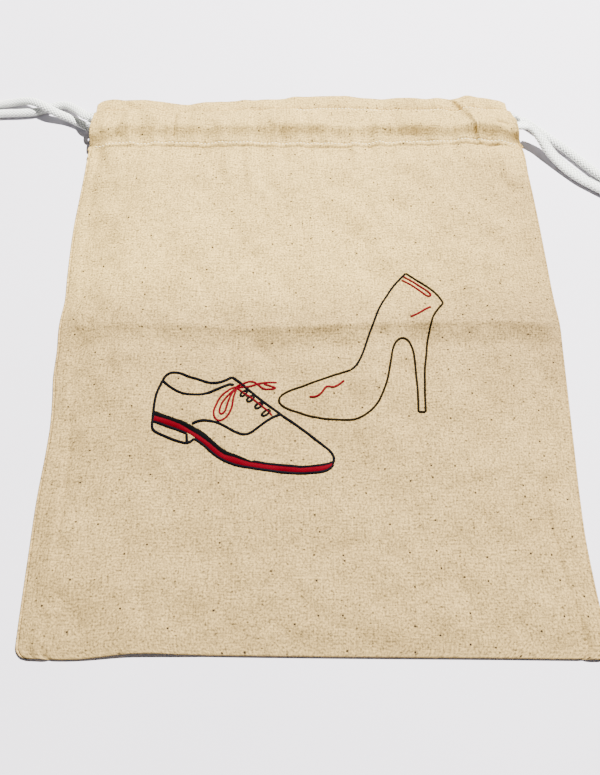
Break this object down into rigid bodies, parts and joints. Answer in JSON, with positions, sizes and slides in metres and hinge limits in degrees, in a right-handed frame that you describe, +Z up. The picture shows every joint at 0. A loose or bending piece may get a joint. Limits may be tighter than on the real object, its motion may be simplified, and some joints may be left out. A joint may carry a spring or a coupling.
{
  "type": "drawstring shoe bag",
  "caption": "Flat cotton drawstring bag for a pair of shoes, with a cord out of each side of its casing and two shoes embroidered on the front.",
  "frame": {"origin": "on the surface the bag lies on, under the middle of the bag without its cords", "axes": "+X to the right across the bag, +Y from the folded bottom to the mouth, +Z up out of the embroidered front"},
  "size_m": [0.5831, 0.3712, 0.018],
  "materials": {
    "cotton_cloth": "unbleached plain-weave cotton, matt, with dark seed flecks",
    "sewing_thread": "cream spun polyester sewing thread",
    "white_cord": "white braided cord, soft satin",
    "navy_thread": "navy embroidery thread, satin",
    "black_thread": "black embroidery thread, satin",
    "red_thread": "red embroidery thread, satin",
    "olive_thread": "olive brown embroidery thread, satin"
  },
  "bodies": {
    "root": {"back_panel": "cotton_cloth", "front_panel": "cotton_cloth", "back_casing": "cotton_cloth", "front_casing": "cotton_cloth", "left_seam_allowance": "cotton_cloth", "right_seam_allowance": "cotton_cloth", "left_seam_stitching": "sewing_thread", "right_seam_stitching": "sewing_thread", "left_overlock": "sewing_thread", "right_overlock": "sewing_thread", "back_hem_stitching": "sewing_thread", "back_header_stitching": "sewing_thread", "front_hem_stitching": "sewing_thread", "front_header_stitching": "sewing_thread", "shoe_outline": "navy_thread", "shoe_welt": "black_thread", "shoe_sole": "red_thread", "shoe_laces": "red_thread", "shoe_eyelets": "black_thread", "pump_throat_line": "black_thread", "pump_outline": "olive_thread", "pump_trim": "red_thread"},
    "left_cord": {"left_cord_front_run": "white_cord", "left_cord_back_run": "white_cord", "left_cord_loop": "white_cord", "left_cord_front_strand": "white_cord", "left_cord_back_strand": "white_cord", "left_cord_knot": "white_cord"},
    "right_cord": {"right_cord_front_run": "white_cord", "right_cord_back_run": "white_cord", "right_cord_loop": "white_cord", "right_cord_front_strand": "white_cord", "right_cord_back_strand": "white_cord", "right_cord_knot": "white_cord"}
  },
  "joints": [
    {"name": "left_cord_pull", "type": "slide", "parent": "root", "child": "left_cord", "axis": [-1, 0, 0], "range_m": [0, 0.075], "deforming": ["left_cord_loop"]},
    {"name": "right_cord_pull", "type": "slide", "parent": "root", "child": "right_cord", "axis": [1, 0, 0], "range_m": [0, 0.075], "deforming": ["right_cord_loop"]}
  ]
}
